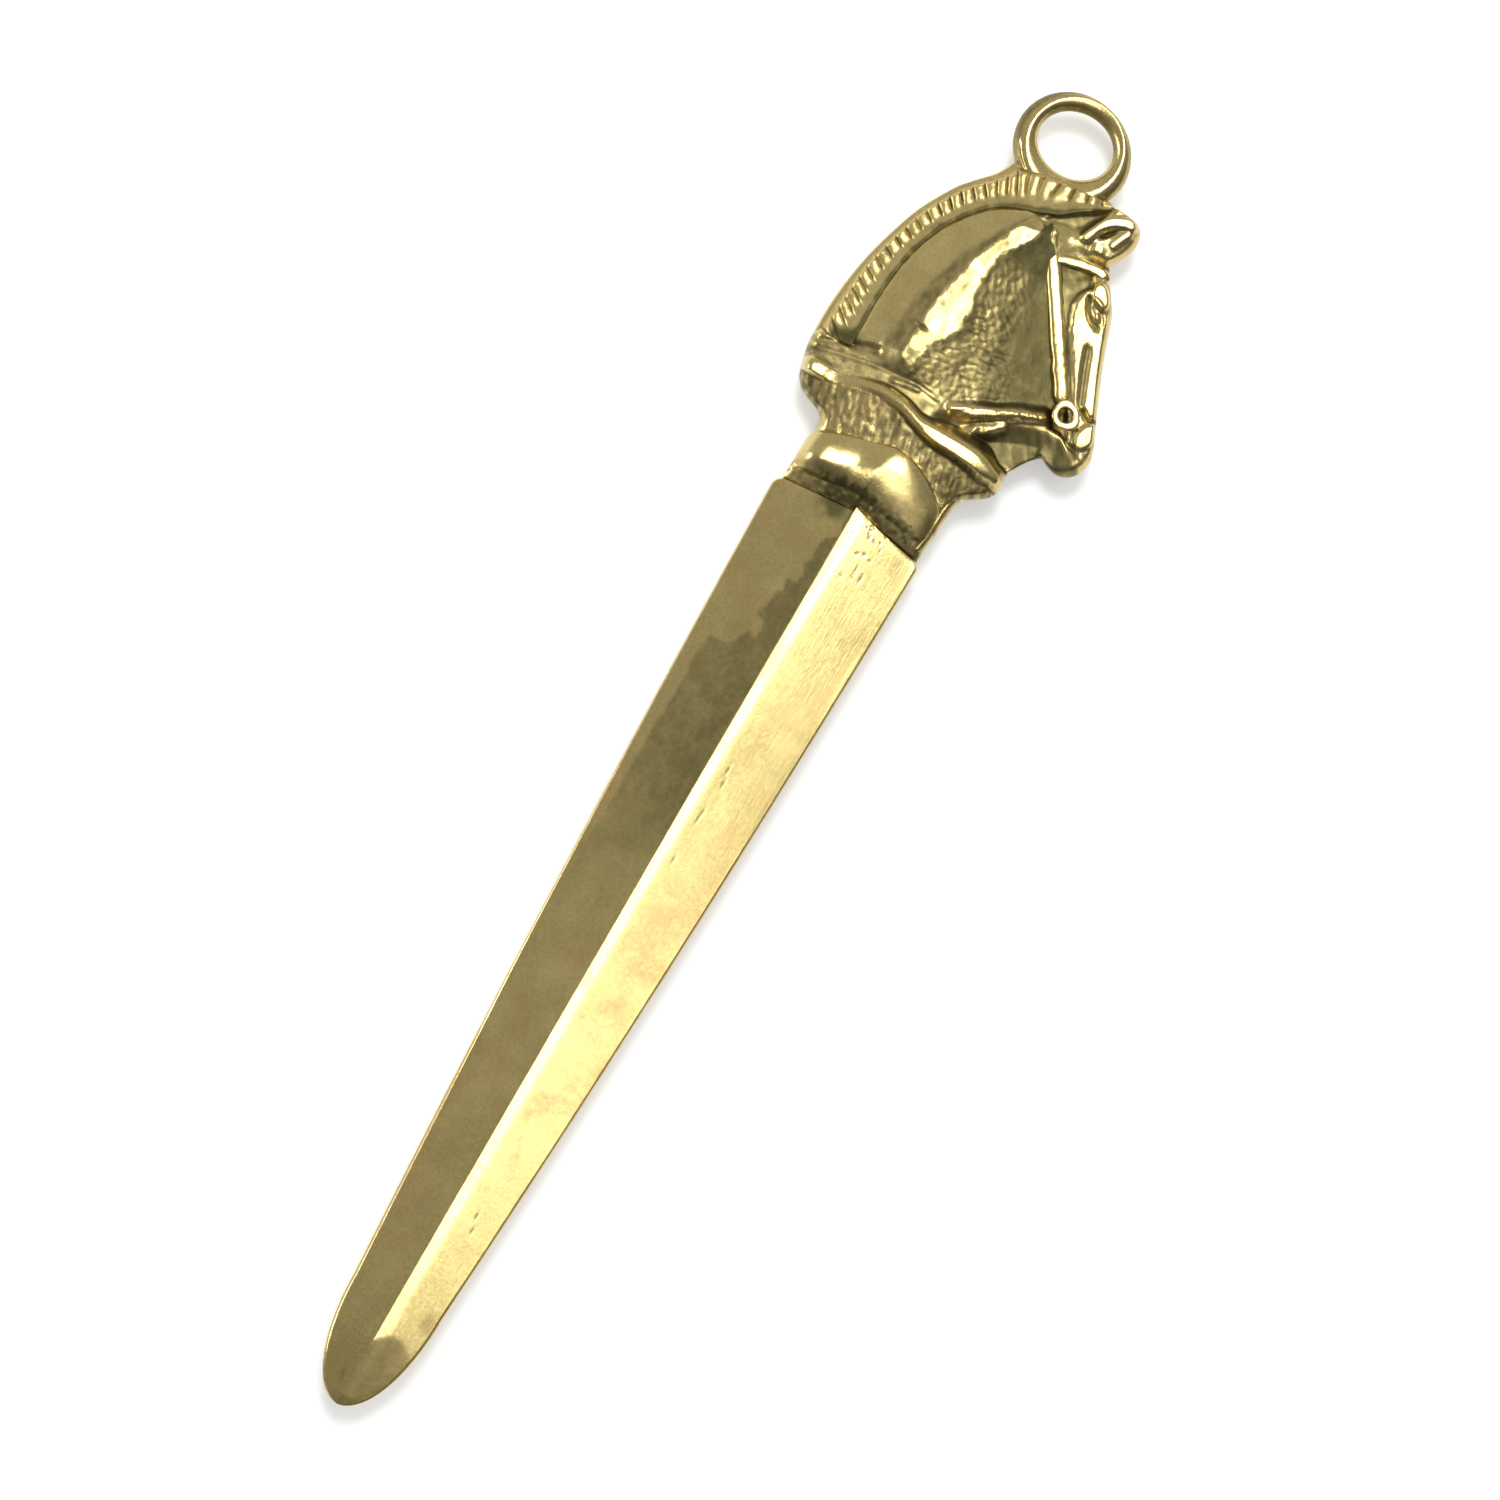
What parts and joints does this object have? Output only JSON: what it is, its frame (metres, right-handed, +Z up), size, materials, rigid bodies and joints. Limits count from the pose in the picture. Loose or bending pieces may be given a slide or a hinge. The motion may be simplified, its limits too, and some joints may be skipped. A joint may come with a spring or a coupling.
{
  "type": "letter opener",
  "caption": "Brass letter opener: ridged double-bevel blade, oval bolster, horse-head handle with plaited mane and bridle, and a ring to hang it by.",
  "frame": {"origin": "under the middle of the whole opener, on the plane it lies on", "axes": "+Y along the blade from its tip to the hanging ring, +X the way the horse looks, +Z up through the thickness"},
  "size_m": [0.0364, 0.1802, 0.0094],
  "materials": {
    "blade_brass": "polished and worn, with stains and fine scratches along the blade",
    "handle_brass": "cast and polished, with dark patina in the hollows",
    "mane_brass": "cast, with dark patina between the plaits",
    "bridle_brass": "polished on top, dark along the edges",
    "ring_brass": "polished on the crown, dull inside the hole"
  },
  "bodies": {
    "root": {"blade": "blade_brass", "bolster_collar": "handle_brass", "horse_head": "handle_brass", "plaited_mane": "mane_brass", "cheek_straps": "bridle_brass", "browbands": "bridle_brass", "bit_rings": "bridle_brass", "hanging_ring": "ring_brass"}
  },
  "joints": []
}
